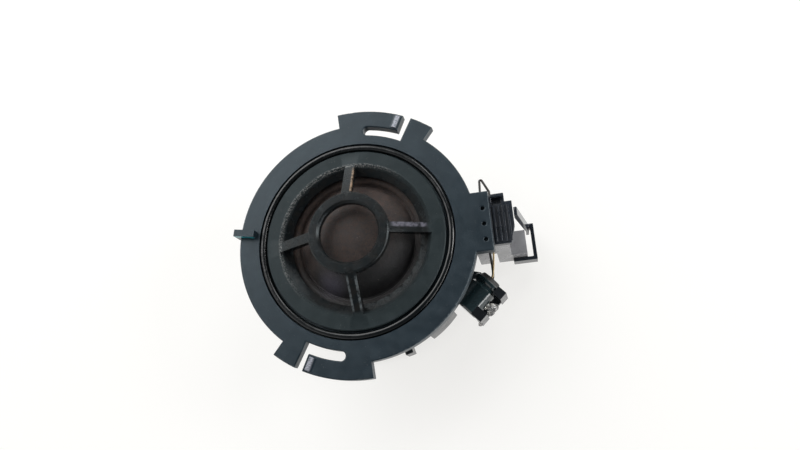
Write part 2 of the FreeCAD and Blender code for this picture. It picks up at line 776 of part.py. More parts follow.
def build_latch():
    """A sloping arm hinged at the cover's edge, with a loop round the socket's nose."""
    arm = doc.addObject("PartDesign::Body", "latch_arm")
    inner, top = "cap_outer + hinge_gap", "cap_top - 0.2"
    foot, knee = "nose_outer + latch_gap", "socket_bottom + loop_height"
    side = outline(arm, "latch_arm_outline", "XZ_Plane", [
        (inner, top), (f"{inner} + arm_thickness", top), (f"{foot} + arm_thickness", knee),
        (f"{foot} + arm_thickness", "socket_bottom"), (foot, "socket_bottom"), (foot, knee),
        (inner, "cap_top - hinge_depth"),
    ], "-loop_high")
    slab = arm.newObject("PartDesign::Pad", "latch_arm_pad")
    slab.Profile = side
    slab.setExpression("Length", on_sheet("loop_high - arm_low"))
    start, low = "socket_outer + latch_gap", "socket_bottom"
    bars = [
        box("loop_far_bar", "loop_outer - loop_bar", "loop_outer", "loop_low", "loop_high", low, knee),
        box("loop_low_bar", start, "loop_outer", "loop_low", "loop_low + loop_bar", low, knee),
        box("loop_high_bar", foot, "loop_outer", "loop_high - loop_bar", "loop_high", low, knee),
    ]
    node(fuse("latch", [arm] + bars), "latch_loop")


# ---------------------------------------------------------------- capacitor and wiring

def build_capacitor():
    can = doc.addObject("PartDesign::Body", "can")
    profile = outline(can, "can_outline", "XZ_Plane", [
        ("0", "0"), ("can_radius - 0.4", "0"), ("can_radius", "0.4"),
        ("can_radius", "can_length - groove_place"),
        ("can_radius - groove_depth", "can_length - groove_place + 0.4"),
        ("can_radius - groove_depth", "can_length - groove_place + 0.8"),
        ("can_radius", "can_length - groove_place + 1.2"), ("can_radius", "can_length - 0.2"),
        ("can_radius - 0.2", "can_length"), ("0", "can_length"),
    ])
    turn = can.newObject("PartDesign::Revolution", "can_turn")
    turn.Profile = profile
    turn.ReferenceAxis = (profile, ["V_Axis"])
    turn.Angle = 360
    can.Placement = can_frame().multiply(Placement(Vector(), lying_along_x()))
    node(can, "capacitor_can")
    bung = doc.addObject("Part::Cone", "bung")
    bind(bung, Radius1="can_radius - 0.5", Radius2="can_radius - 1.0", Height="bung_length")
    bung.Placement = beside_can(size("can_length"), 0, 0).multiply(Placement(Vector(), lying_along_x()))
    node(bung, "capacitor_bung")


def build_wiring():
    thin = size("lead_radius")
    end = beside_can(size("can_length + bung_length"), 0, 0).Base
    along = about_z(size("can_azimuth")).multVec(Vector(1, 0, 0))
    rise = size("socket_low + notch_depth") - 3 * thin
    height = size("socket_top") - thin - 0.2
    leads = []
    for side, reach, stop in ((0.5, size(PIN_LEAD_REACH), PIN_LEAD_STOP),
                              (-0.5, size(LUG_LEAD_REACH), LUG_LEAD_STOP)):
        start = end + Vector(0, 0, side * size("lead_pitch"))
        turning = Vector(reach, rise - 2 * thin, (height + size("can_height")) / 2 + 0.5)
        leads.append(drawn_wire([
            start, start + along * 0.8, turning, Vector(reach, rise, height - 1.6),
            Vector(reach, rise, height), Vector(reach, stop, height),
        ], thin, 0.4))
    node(feature("leads", Part.makeCompound(leads)), "capacitor_leads")

    level, side = size("socket_top + 0.5 + link_radius"), size("cap_high")
    start, end = size("link_start"), size("link_end")
    hoop = drawn_wire([
        Vector(start, side, level), Vector(start, side + 1.0, level),
        Vector(end + 0.2, side + size("link_length"), level),
        Vector(end, side + 1.2, level), Vector(end, side, level),
    ], size("link_radius"), size("link_bend"))
    node(feature("hoop", hoop), "link_wire")

    lugs = doc.addObject("Part::Compound", "lugs")
    lugs.Links = [lug_box("lug_0", 0, "lug_start", "lug_end"),
                  lug_box("lug_1", 1, "lug_start", "pin_reach - pin_side / 2")]
    node(lugs, "lead_lugs")

    tail = size("tail_radius")
    tails = [Part.makeCylinder(tail, size("lug_start") + 1.2 - size("former_outer"),
                               Vector(size("former_outer"), size(lug_side(number)), size("lug_top") + tail),
                               Vector(1, 0, 0)) for number in (0, 1)]
    curve = Part.makeCylinder(size("coil_outer"), 2, Vector(0, 0, size("coil_top") - 0.5))
    node(feature("tails", Part.makeCompound([piece.cut(curve) for piece in tails])), "coil_tails")

    # one lead is soldered round its end, against its pin; the other on top of its lug
    collar_start = Vector(size(PIN_LEAD_REACH), PIN_LEAD_STOP - size("solder_length"), height)
    collar = Part.makeCylinder(size("solder_radius"), size("solder_length"), collar_start, Vector(0, 1, 0))
    lead = Part.makeCylinder(thin, size("solder_length"), collar_start, Vector(0, 1, 0))
    dab = Part.makeBox(size("solder_radius"), size("solder_radius") / 2, height - thin - size("lug_top"),
                       Vector(size("lug_end - solder_radius"), -1.0, size("lug_top")))
    node(feature("solder", Part.makeCompound([collar.cut(lead), dab])), "solder_joints")


def build_glue():
    """Set hot-melt glue between the capacitor's outer side and its cradle."""
    reach = -size("can_radius")
    lump = Part.makeSphere(size("glue_radius"), beside_can(size("can_length") / 2, reach - 1.1, -0.6).Base)
    drop = Part.makeSphere(size("glue_drop_radius"), beside_can(-0.1, reach - 1.4, -1.8).Base)
    others = [obj.Shape for obj in nodes if obj.Label in ("capacitor_can", "rear_cover")]
    pieces = [blob.cut(others[0]).cut(others[1]) for blob in (lump, drop)]
    solids = [max(piece.Solids, key=lambda solid: solid.Volume) for piece in pieces]
    node(feature("glue", Part.makeCompound(solids)), "glue_beads")


# ---------------------------------------------------------------- build, check and write

build_front_frame()
build_coding_mark()
build_seal_ring()
build_face_plate()
build_diaphragm()
build_motor()
build_rear_cover()
build_connector()
build_capacitor()
doc.recompute()
build_wiring()
build_glue()
doc.recompute()

failed = [obj.Label for obj in doc.Objects if "Invalid" in obj.State or "Error" in obj.State]
if failed:
    raise RuntimeError(f"objects that did not compute: {failed}")
for obj in nodes:
    if obj.Shape.isNull() or not obj.Shape.isValid() or not obj.Shape.Solids:
        raise RuntimeError(f"{obj.Label} has no valid solid")

os.makedirs("parts", exist_ok=True)
for obj in nodes:
    obj.Shape.exportStep(f"parts/{obj.Label}.step")
    print(f"{obj.Label:20s} {obj.Shape.Volume:9.2f} mm3, solids: {len(obj.Shape.Solids)}")
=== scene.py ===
import math

import bmesh
import bpy
from mathutils import Matrix, Vector, noise


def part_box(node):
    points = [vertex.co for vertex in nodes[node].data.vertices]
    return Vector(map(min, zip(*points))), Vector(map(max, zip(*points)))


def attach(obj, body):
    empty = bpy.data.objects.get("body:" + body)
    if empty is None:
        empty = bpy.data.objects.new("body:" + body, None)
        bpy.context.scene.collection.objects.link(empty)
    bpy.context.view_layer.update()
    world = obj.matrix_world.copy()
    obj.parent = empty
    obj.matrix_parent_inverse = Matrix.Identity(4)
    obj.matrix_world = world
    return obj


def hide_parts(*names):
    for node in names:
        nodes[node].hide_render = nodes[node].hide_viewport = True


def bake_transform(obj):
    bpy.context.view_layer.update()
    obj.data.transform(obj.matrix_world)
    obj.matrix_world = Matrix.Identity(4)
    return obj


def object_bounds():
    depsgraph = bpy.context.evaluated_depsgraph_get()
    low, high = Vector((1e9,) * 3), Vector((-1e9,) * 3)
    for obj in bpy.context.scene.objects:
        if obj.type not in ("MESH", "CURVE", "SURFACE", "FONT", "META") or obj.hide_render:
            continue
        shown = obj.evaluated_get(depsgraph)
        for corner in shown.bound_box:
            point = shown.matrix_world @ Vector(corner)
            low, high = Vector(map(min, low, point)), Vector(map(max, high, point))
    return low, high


# Car-door dome tweeter: black moulded plastic ring with a bayonet, spoked face plate over a coated
# cloth dome, rear cover, plug socket with a latch loop, and a series capacitor held in a cradle.
# Metres; the origin is on the dome's axis at the flange's back face, +Z out of the front.

MM = 0.001
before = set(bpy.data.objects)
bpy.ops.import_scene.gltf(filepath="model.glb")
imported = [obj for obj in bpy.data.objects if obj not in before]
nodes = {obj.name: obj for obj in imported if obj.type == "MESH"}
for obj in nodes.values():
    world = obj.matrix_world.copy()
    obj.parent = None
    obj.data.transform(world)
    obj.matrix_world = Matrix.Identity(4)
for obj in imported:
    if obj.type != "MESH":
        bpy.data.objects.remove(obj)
cad_low, cad_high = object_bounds()
scene = bpy.context.scene
scene.view_settings.view_transform = "Standard"


# ---------------------------------------------------------------- material building

class Shader:
    """A node material with one Principled surface, and short calls for the usual nodes."""

    def __init__(self, name, colour, roughness, **surface):
        self.material = bpy.data.materials.new(name)
        self.material.use_nodes = True
        self.tree = self.material.node_tree
        self.surface = self.tree.nodes["Principled BSDF"]
        self.surface.inputs["Base Color"].default_value = (*colour, 1)
        self.surface.inputs["Roughness"].default_value = roughness
        for socket, value in surface.items():
            self.surface.inputs[socket.replace("_", " ")].default_value = value
        self.place = self.add("ShaderNodeTexCoord").outputs["Object"]
        self.material.diffuse_color = (*colour, 1)

    def add(self, kind, links=None, **settings):
        """A new node; links feed its inputs, by name or number, from outputs or plain values."""
        made = self.tree.nodes.new(kind)
        for key, value in settings.items():
            setattr(made, key, value)
        for key, value in (links or {}).items():
            if isinstance(value, bpy.types.NodeSocket):
                self.tree.links.new(value, made.inputs[key])
            else:
                made.inputs[key].default_value = value
        return made

    def math(self, operation, *values):
        """One arithmetic step on outputs or plain numbers."""
        return self.add("ShaderNodeMath", dict(enumerate(values)), operation=operation).outputs[0]

    def all_of(self, *shares):
        """The product of several shares."""
        product = shares[0]
        for share in shares[1:]:
            product = self.math("MULTIPLY", product, share)
        return product

    def grain(self, size, detail=2.0, place=None, roughness=0.55):
        """Noise with features about size metres across, from 0 to 1."""
        links = {"Vector": place or self.place, "Scale": 1 / size, "Detail": detail, "Roughness": roughness}
        return self.add("ShaderNodeTexNoise", links).outputs["Fac"]

    def stretched(self, x, y, z):
        """The place scaled along each axis, for grain that is longer one way."""
        return self.add("ShaderNodeMapping", {"Vector": self.place, "Scale": (x, y, z)}).outputs[0]

    def between(self, value, low, high):
        """0 below low, 1 above high."""
        links = {"Value": value, "From Min": low, "From Max": high}
        return self.add("ShaderNodeMapRange", links, interpolation_type="SMOOTHSTEP").outputs[0]

    def band(self, value, low, high, edge):
        """1 between low and high, fading over edge at both ends."""
        return self.math("SUBTRACT", self.between(value, low - edge, low + edge),
                         self.between(value, high - edge, high + edge))

    def axis(self, which):
        """The place along "X", "Y" or "Z"."""
        return self.add("ShaderNodeSeparateXYZ", {0: self.place}).outputs[which]

    def reach(self):
        """Distance from the dome's axis."""
        flat = self.add("ShaderNodeVectorMath", {0: self.place, 1: (1, 1, 0)}, operation="MULTIPLY")
        return self.add("ShaderNodeVectorMath", {0: flat.outputs[0]}, operation="LENGTH").outputs["Value"]

    def blend(self, share, first, second):
        """Colour from first to second by share."""
        made = self.add("ShaderNodeMix", data_type="RGBA")
        for socket, value in ((made.inputs[0], share), (made.inputs[6], first), (made.inputs[7], second)):
            if isinstance(value, bpy.types.NodeSocket):
                self.tree.links.new(value, socket)
            else:
                socket.default_value = value if isinstance(value, float) else (*value, 1)
        return made.outputs[2]

    def colour(self, output):
        """Use output as the base colour."""
        self.tree.links.new(output, self.surface.inputs["Base Color"])

    def roughness(self, output):
        """Use output as the roughness."""
        self.tree.links.new(output, self.surface.inputs["Roughness"])

    def bump(self, height, depth, strength=1.0):
        """Relief of depth metres; later calls add to earlier ones."""
        links = {"Height": height, "Distance": depth, "Strength": strength}
        before = self.surface.inputs["Normal"].links
        if before:
            links["Normal"] = before[0].from_socket
        self.tree.links.new(self.add("ShaderNodeBump", links).outputs[0], self.surface.inputs["Normal"])

    def worn_edges(self, base, light):
        """Base colour with scuffed corners, found where a rounded normal leaves the true one."""
        rounded = self.add("ShaderNodeBevel", {"Radius": 0.2 * MM}, samples=4).outputs[0]
        true = self.add("ShaderNodeNewGeometry").outputs["Normal"]
        agree = self.add("ShaderNodeVectorMath", {0: rounded, 1: true}, operation="DOT_PRODUCT")
        corners = self.math("SUBTRACT", 1.0, self.between(agree.outputs["Value"], 0.8, 0.98))
        patchy = self.math("MULTIPLY", corners, self.between(self.grain(0.8 * MM, 3), 0.42, 0.6))
        return self.blend(patchy, base, light)

    def specks(self, size, share):
        """1 on small scattered specks, spaced about size apart; share is how large they are."""
        cells = self.add("ShaderNodeTexVoronoi", {"Vector": self.place, "Scale": 1 / size})
        return self.math("SUBTRACT", 1.0, self.between(cells.outputs["Distance"], share * 0.6, share))


def moulded(name, dark, light, rough, dust=0.3, wear=0.6, grain=0.12 * MM, relief=0.012 * MM, **surface):
    """Moulded plastic: fine grain, slow mottling, scuffed corners and a little dust."""
    shader = Shader(name, dark, rough, **surface)
    mottled = shader.blend(shader.between(shader.grain(3.5 * MM, 4), 0.35, 0.7), dark, light)
    scuffed = shader.worn_edges(mottled, tuple(channel * (1 + 2 * wear) + 0.015 * wear for channel in light))
    patchy = shader.between(shader.grain(2.2 * MM), 0.5, 0.62)
    powder = shader.all_of(shader.specks(0.45 * MM, 0.11), patchy, dust)
    shader.colour(shader.blend(powder, scuffed, (0.35, 0.34, 0.32)))
    smudges = shader.between(shader.grain(1.8 * MM, 3), 0.3, 0.75)
    shader.roughness(shader.math("ADD", shader.math("MULTIPLY", smudges, 0.1), rough - 0.05))
    shader.bump(shader.grain(grain, 1.5), relief)
    shader.bump(shader.grain(6 * MM, 2), 0.03 * MM, 0.6)
    return shader


def paint(node, shader, crease=32):
    """Give a CAD node its finish, smooth across angles of less than crease degrees."""
    obj = nodes[node]
    obj.data.materials.clear()
    obj.data.materials.append(shader.material)
    obj.data.shade_smooth()
    obj.data.set_sharp_from_angle(angle=math.radians(crease))


def softened(node, width):
    """Narrow rounds on a CAD node's corners."""
    obj = nodes[node]
    weld = obj.modifiers.new("weld", "WELD")
    weld.merge_threshold = 0.002 * MM
    rounds = obj.modifiers.new("rounds", "BEVEL")
    rounds.width = width
    rounds.segments = 2
    rounds.limit_method = "ANGLE"
    rounds.angle_limit = math.radians(40)
    flat = obj.modifiers.new("flat_faces", "WEIGHTED_NORMAL")
    flat.keep_sharp = True
    flat.weight = 90


# ---------------------------------------------------------------- finishes

# painted highlight: pale streaks on the bayonet's detent ramps, not on the key rib
flange_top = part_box("coding_mark")[0].z - 0.1 * MM
frame_black = moulded("frame_black", (0.009, 0.0165, 0.023), (0.0145, 0.024, 0.032), 0.36, dust=0.45,
                      grain=0.16 * MM, relief=0.03 * MM, Specular_Tint=(0.82, 0.94, 1.0, 1))
ramp_height = frame_black.between(frame_black.axis("Z"), flange_top + 0.12 * MM, flange_top + 0.4 * MM)
off_key = frame_black.between(frame_black.axis("X"), -16 * MM, -14 * MM)
highlight_streaks = frame_black.between(frame_black.grain(0.5 * MM, 3, frame_black.stretched(1, 4, 1)), 0.25, 0.6)
# painted highlight where the detent ramps face the light
ramp_highlight = frame_black.all_of(ramp_height, off_key, highlight_streaks)
under_highlight = frame_black.surface.inputs["Base Color"].links[0].from_socket
frame_black.colour(frame_black.blend(ramp_highlight, under_highlight, (0.42, 0.43, 0.48)))
paint("front_frame", frame_black, crease=10)

plate = moulded("plate_black", (0.013, 0.0195, 0.021), (0.02, 0.028, 0.03), 0.45, dust=0.5, wear=0.0,
                      grain=0.16 * MM, relief=0.03 * MM, Specular_IOR_Level=0.25,
                      Specular_Tint=(0.86, 0.96, 1.0, 1))
reach, east, north, level = plate.reach(), plate.axis("X"), plate.axis("Y"), plate.axis("Z")

# dust and painted glints on the lip round the mouth's upper left, and painted shade darkening the inside,
# which has a brown film
lip = plate.band(reach, 16.0 * MM, 16.75 * MM, 0.2 * MM)
up_left = plate.between(plate.math("SUBTRACT", north, east), -4 * MM, 18 * MM)
grit_and_glints = plate.between(plate.grain(0.26 * MM, 3), 0.47, 0.58)
inside = plate.math("SUBTRACT", 1.0, plate.between(reach, 15.4 * MM, 16.5 * MM))
film = plate.all_of(inside, plate.between(plate.grain(1.6 * MM, 4), 0.35, 0.7))
# painted highlights on the spokes' lit edges stay on their sloping crests, where height plus fall times
# distance is the same
from_middle = plate.math("ABSOLUTE", east)
farther = plate.math("MAXIMUM", from_middle, plate.math("ABSOLUTE", north))
spoke_fall = 0.566
along_slope = plate.math("ADD", level, plate.math("MULTIPLY", farther, spoke_fall))
crest = plate.between(along_slope, 11.25 * MM, 11.5 * MM)
on_top_spoke = plate.all_of(plate.band(east, 0.72 * MM, 1.3 * MM, 0.1 * MM),
                            plate.band(north, 8.9 * MM, 15.4 * MM, 0.5 * MM))
on_right_spoke = plate.all_of(plate.band(north, 0.1 * MM, 1.3 * MM, 0.2 * MM),
                              plate.band(east, 9.2 * MM, 15.6 * MM, 0.5 * MM))
low_spoke_edges = plate.all_of(plate.band(from_middle, 0.62 * MM, 1.3 * MM, 0.1 * MM),
                               plate.band(north, -15.6 * MM, -9.2 * MM, 0.5 * MM))
highlight_patches = plate.between(plate.grain(0.7 * MM, 4), 0.3, 0.62)
layers = [
    # painted shade: the recessed inside darkened nearly to black
    (plate.math("MULTIPLY", inside, 0.85), (0.004, 0.005, 0.0056)),
    (plate.math("MULTIPLY", film, 0.4), (0.02, 0.0155, 0.0125)),
    # dust and painted glints: pale grit on the lip's upper left
    (plate.all_of(lip, grit_and_glints, up_left, 0.8), (0.26, 0.26, 0.252)),
    # painted highlights: tan on the top spoke, pale violet on the right one, grey on the bottom one's edges
    (plate.all_of(on_top_spoke, crest, highlight_patches), (0.3, 0.21, 0.14)),
    (plate.all_of(on_right_spoke, crest, highlight_patches, 0.8), (0.17, 0.165, 0.2)),
    (plate.all_of(low_spoke_edges, crest, highlight_patches, 0.9), (0.12, 0.135, 0.14)),
]
finish = plate.surface.inputs["Base Color"].links[0].from_socket
for share, tint in layers:
    finish = plate.blend(share, finish, tint)
plate.colour(finish)
plate.bump(plate.math("MULTIPLY", lip, grit_and_glints), 0.03 * MM)
outer_roughness = plate.surface.inputs["Roughness"].links[0].from_socket
plate.roughness(plate.math("SUBTRACT", outer_roughness, plate.math("MULTIPLY", inside, 0.2)))
paint("face_plate", plate)

cover_black = moulded("cover_black", (0.014, 0.017, 0.02), (0.022, 0.026, 0.03), 0.24, relief=0.006 * MM)
for name in ("rear_cover", "diaphragm_ring"):
    paint(name, cover_black)

socket_grey = moulded("socket_grey", (0.29, 0.29, 0.3), (0.34, 0.34, 0.35), 0.3, wear=0.2, relief=0.004 * MM)
paint("connector_body", socket_grey)
paint("connector_cover", moulded("connector_black", (0.012, 0.016, 0.022), (0.02, 0.026, 0.035), 0.3,
                                 relief=0.006 * MM))
paint("latch_loop", moulded("latch_black", (0.012, 0.016, 0.022), (0.022, 0.028, 0.036), 0.1, wear=0.3,
                            grain=0.5 * MM, relief=0.002 * MM))


def cloth(name, dark, brown):
    """Coated plain weave with fine grit and brown dust that is thicker towards the dome's upper left, and a
    painted violet highlight at its lower left.
    """
    shader = Shader(name, dark, 0.5, Specular_IOR_Level=0.4, Sheen_Weight=0.12, Sheen_Roughness=0.5)
    thread = 0.26 * MM
    warp, weft = (shader.math("SINE", shader.math("MULTIPLY", shader.axis(way), 2 * math.pi / thread))
                  for way in ("X", "Y"))
    weave = shader.math("MULTIPLY", warp, weft)
    sweep = shader.math("ADD", shader.math("MULTIPLY", shader.axis("Y"), 0.95),
                        shader.math("MULTIPLY", shader.axis("X"), -0.35))
    drift = shader.math("ADD", sweep, shader.math("MULTIPLY", shader.grain(5 * MM, 4), 14 * MM))
    dusty = shader.between(drift, -1.0 * MM, 12 * MM)
    in_hub = shader.math("SUBTRACT", 1.0, shader.between(shader.reach(), 5.2 * MM, 7.2 * MM))
    covered = shader.math("MAXIMUM", dusty, shader.math("MULTIPLY", in_hub, 0.8))
    blotchy = shader.between(shader.grain(1.3 * MM, 4, roughness=0.65), 0.38, 0.6)
    fine = shader.math("MULTIPLY", shader.between(shader.grain(0.28 * MM, 4, roughness=0.7), 0.38, 0.58),
                       shader.math("ADD", shader.math("MULTIPLY", blotchy, 0.6), 0.4))
    amount = shader.math("MULTIPLY", covered, shader.math("ADD", shader.math("MULTIPLY", fine, 0.75), 0.15))
    base = shader.blend(shader.between(weave, -1.0, 1.0), tuple(channel * 0.6 for channel in dark), dark)
    lint = shader.math("MULTIPLY", shader.specks(1.5 * MM, 0.06), 0.55)
    # a painted violet highlight at the dome's lower left
    highlight_centre = (-5.5 * MM, -8.5 * MM, 0)
    apart = shader.add("ShaderNodeVectorMath", {0: shader.place, 1: highlight_centre}, operation="DISTANCE")
    violet_highlight = shader.math("SUBTRACT", 1.0, shader.between(apart.outputs["Value"], 0.5 * MM, 4.5 * MM))
    # painted highlight blended over the weave
    weave_with_highlight = shader.blend(shader.math("MULTIPLY", violet_highlight, 0.8), base, (0.062, 0.057, 0.082))
    shader.colour(shader.blend(lint, shader.blend(amount, weave_with_highlight, brown), (0.34, 0.3, 0.26)))
    shader.roughness(shader.math("ADD", shader.math("MULTIPLY", amount, 0.45), 0.42))
    shader.bump(weave, 0.016 * MM)
    shader.bump(fine, 0.035 * MM)
    shader.bump(shader.grain(0.9 * MM, 3), 0.05 * MM)
    return shader


paint("dome", cloth("dome_cloth", (0.0055, 0.0053, 0.0062), (0.07, 0.04, 0.029)))
surround_cloth = cloth("surround_cloth", (0.012, 0.010, 0.010), (0.075, 0.046, 0.034))

felt = Shader("felt", (0.05, 0.05, 0.05), 0.95, Sheen_Weight=0.4)
fibres = felt.grain(0.12 * MM, 4, felt.stretched(1, 1, 3))
felt.colour(felt.blend(fibres, (0.02, 0.02, 0.021), (0.09, 0.088, 0.085)))
felt.bump(fibres, 0.06 * MM)
for name in ("pole_felt", "chamber_pad"):
    paint(name, felt)

# broken glints on the bead's upper left, from rough bumpy patches and painted pale specks; smooth gloss
# elsewhere
bead = Shader("seal_bead", (0.004, 0.0045, 0.005), 0.2)
glinting_side = bead.between(bead.math("SUBTRACT", bead.axis("Y"), bead.axis("X")), 4 * MM, 22 * MM)
smooth = bead.math("SUBTRACT", 1.0, glinting_side)
fine_sheen = bead.all_of(bead.grain(0.5 * MM, 3), glinting_side, 0.35)
slow_sheen = bead.all_of(bead.grain(0.9 * MM, 3), smooth, 0.25)
bead.roughness(bead.math("ADD", bead.math("ADD", fine_sheen, slow_sheen), 0.08))
# painted glints: pale specks on the bead's upper left
bead.colour(bead.blend(bead.all_of(bead.specks(0.28 * MM, 0.085), glinting_side, 0.6), (0.003, 0.0042, 0.0046),
                       (0.16, 0.172, 0.185)))
bead.bump(bead.all_of(bead.grain(0.3 * MM, 3), glinting_side), 0.035 * MM)
bead.bump(bead.all_of(bead.grain(1.4 * MM, 2), glinting_side), 0.07 * MM)
bead.bump(bead.grain(2.6 * MM, 2), 0.05 * MM)

mark = Shader("marking_paint", (0.02, 0.26, 0.3), 0.3)
mark.colour(mark.blend(mark.grain(0.4 * MM, 3), (0.01, 0.16, 0.19), (0.05, 0.42, 0.46)))
mark.bump(mark.grain(0.25 * MM), 0.02 * MM)
paint("coding_mark", mark)


def metal(name, dark, light, rough, scratch=(1.0, 1.0, 8.0)):
    """Bare metal with fine streaks along one way."""
    shader = Shader(name, light, rough, Metallic=1.0)
    streaks = shader.grain(0.25 * MM, 3, shader.stretched(*scratch))
    shader.colour(shader.blend(shader.between(streaks, 0.3, 0.7), dark, light))
    shader.roughness(shader.math("ADD", shader.math("MULTIPLY", streaks, 0.25), rough - 0.1))
    shader.bump(streaks, 0.004 * MM)
    return shader


steel = metal("zinc_plated_steel", (0.4, 0.41, 0.42), (0.62, 0.62, 0.6), 0.32)
nickel = metal("nickel_plate", (0.5, 0.48, 0.44), (0.68, 0.65, 0.6), 0.22)
copper = metal("lacquered_copper", (0.45, 0.17, 0.06), (0.75, 0.36, 0.17), 0.3, (1, 1, 30))
foil = metal("former_foil", (0.55, 0.56, 0.57), (0.75, 0.76, 0.77), 0.25)
tin = metal("tinned_brass", (0.42, 0.4, 0.34), (0.7, 0.68, 0.6), 0.28)
gold_wire = metal("yellow_wire", (0.3, 0.21, 0.1), (0.6, 0.47, 0.27), 0.34)
for shader, painted in ((steel, ("yoke_cup", "pole_plate")), (nickel, ("magnet",)),
                        (copper, ("voice_coil", "coil_tails")), (foil, ("voice_coil_former",)),
                        (tin, ("contact_pins", "lead_lugs", "solder_joints"))):
    for name in painted:
        paint(name, shader)

enamel = Shader("wire_enamel", (0.012, 0.011, 0.01), 0.3, Coat_Weight=0.3, Coat_Roughness=0.15)
enamel.colour(enamel.blend(enamel.grain(0.5 * MM, 3), (0.006, 0.006, 0.006), (0.03, 0.025, 0.018)))
enamel.bump(enamel.grain(0.3 * MM, 2), 0.01 * MM)
paint("link_wire", enamel)

sleeve = Shader("capacitor_sleeve", (0.014, 0.026, 0.029), 0.16, Coat_Weight=0.6, Coat_Roughness=0.06)
along = sleeve.add("ShaderNodeMapping", {"Vector": sleeve.place, "Rotation": (0, 0, math.radians(-42)),
                                         "Scale": (1, 6, 6)}).outputs[0]
shrink = sleeve.grain(2.2 * MM, 3, along)
sleeve.colour(sleeve.blend(shrink, (0.009, 0.019, 0.021), (0.02, 0.038, 0.042)))
sleeve.roughness(sleeve.math("ADD", sleeve.math("MULTIPLY", shrink, 0.16), 0.08))
sleeve.bump(shrink, 0.03 * MM)
paint("capacitor_can", sleeve)

bung = Shader("bung_rubber", (0.012, 0.012, 0.012), 0.6)
bung.colour(bung.blend(bung.grain(0.5 * MM, 3), (0.008, 0.008, 0.008), (0.03, 0.029, 0.028)))
bung.bump(bung.grain(0.2 * MM, 2), 0.02 * MM)
paint("capacitor_bung", bung)

glue = Shader("set_glue", (0.9, 0.9, 0.88), 0.1, Transmission_Weight=0.85, IOR=1.4)
cloudy = glue.grain(0.9 * MM, 3)
glue.colour(glue.blend(glue.between(cloudy, 0.45, 0.7), (0.95, 0.95, 0.94), (0.8, 0.78, 0.74)))
glue.roughness(glue.math("ADD", glue.math("MULTIPLY", cloudy, 0.16), 0.02))
glue.bump(glue.grain(1.1 * MM, 2), 0.08 * MM)

for name, width in (("face_plate", 0.12 * MM), ("connector_body", 0.12 * MM), ("connector_cover", 0.1 * MM),
                    ("latch_loop", 0.15 * MM), ("rear_cover", 0.15 * MM)):
    softened(name, width)


# ---------------------------------------------------------------- pieces made here

def closed_skin(built, rows):
    """Join equal rows of vertices with quads, each row closed and the last row joined to the first."""
    for row, beside in zip(rows, rows[1:] + rows[:1]):
        for place in range(len(row)):
            after = (place + 1) % len(row)
            built.faces.new((row[place], beside[place], beside[after], row[after]))


def mesh_piece(name, built, body, shader, stands_for):
    mesh = bpy.data.meshes.new(name)
    built.to_mesh(mesh)
    built.free()
    obj = bpy.data.objects.new(name, mesh)
    scene.collection.objects.link(obj)
    mesh.materials.append(shader.material)
    mesh.shade_smooth()
    if body:
        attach(obj, body)
    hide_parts(*stands_for)
    return obj


def swept_ring(radius_at, centre_radius, centre_height, around=360, across=18):
    """A closed ring about Z whose section's radius changes with the angle."""
    built = bmesh.new()
    rows = []
    for step in range(around):
        angle = 2 * math.pi * step / around
        row = []
        for turn in range(across):
            tilt = 2 * math.pi * turn / across
            section = radius_at(angle, tilt)
            out = centre_radius + section * math.cos(tilt)
            row.append(built.verts.new((out * math.cos(angle), out * math.sin(angle),
                                        centre_height + section * math.sin(tilt))))
        rows.append(row)
    closed_skin(built, rows)
    return built


seal_low, seal_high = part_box("seal_ring")
bead_section = (seal_high.z - seal_low.z) / 2
bead_centre = seal_high.x - bead_section


def bead_radius(angle, tilt):
    """A laid bead of sealing compound: nearly round, a little uneven on top."""
    wave = noise.noise(Vector((math.cos(angle) * 9, math.sin(angle) * 9, math.cos(tilt) * 0.8)))
    return bead_section * (0.95 + 0.05 * wave)


mesh_piece("seal_bead", swept_ring(bead_radius, bead_centre, (seal_low.z + seal_high.z) / 2), "frame",
           bead, ["seal_ring"])


# the surround: its inner half moves with the dome, and its outer half bends down to the fixed hem
surround_low, surround_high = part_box("surround")
dome_low, dome_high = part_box("dome")
hem_top = dome_low.z
skin = hem_top - surround_low.z
roll = surround_high.z - hem_top
roll_middle = dome_high.x + 0.4 * MM + roll
coil_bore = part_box("voice_coil_former")[1].x - 0.12 * MM


def surround_half(side, edge):
    """Half of the surround, from the crown inwards (side -1) or outwards (1) to the hem's edge."""
    half_hollow = roll - skin
    under = (half_hollow ** 2 + roll ** 2) / (2 * roll)
    under_centre = surround_high.z - skin - under
    foot = math.acos((surround_low.z - under_centre) / under)
    steps, around = 28, 360
    upper, lower = [], []
    for step in range(steps + 1):
        share = (step / steps) ** 2
        tilt = share * math.pi / 2
        upper.append((roll_middle + side * roll * math.sin(tilt), hem_top + roll * math.cos(tilt)))
        tilt = share * foot
        lower.append((roll_middle + side * under * math.sin(tilt), under_centre + under * math.cos(tilt)))
    section = upper + [(edge, hem_top), (edge, surround_low.z)] + lower[::-1]
    built = bmesh.new()
    rows = []
    for step in range(around):
        angle = 2 * math.pi * step / around
        across, along = math.cos(angle), math.sin(angle)
        dip = 0.02 * MM * (0.5 + 0.5 * noise.noise(Vector((across * 7, along * 7, 0.4))))
        rows.append([built.verts.new((out * across, out * along,
                                      height - dip * max(0.0, (height - hem_top) / roll)))
                     for out, height in section])
    closed_skin(built, rows)
    bmesh.ops.recalc_face_normals(built, faces=built.faces)
    return built


surround_inner = mesh_piece("surround_inner", surround_half(-1, coil_bore), "diaphragm",
                            surround_cloth, ["surround"])
surround_outer = mesh_piece("surround_outer", surround_half(1, surround_high.x), None,
                            surround_cloth, ["surround"])
for obj in (surround_inner, surround_outer):
    obj.data.set_sharp_from_angle(angle=math.radians(32))
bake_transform(surround_outer)


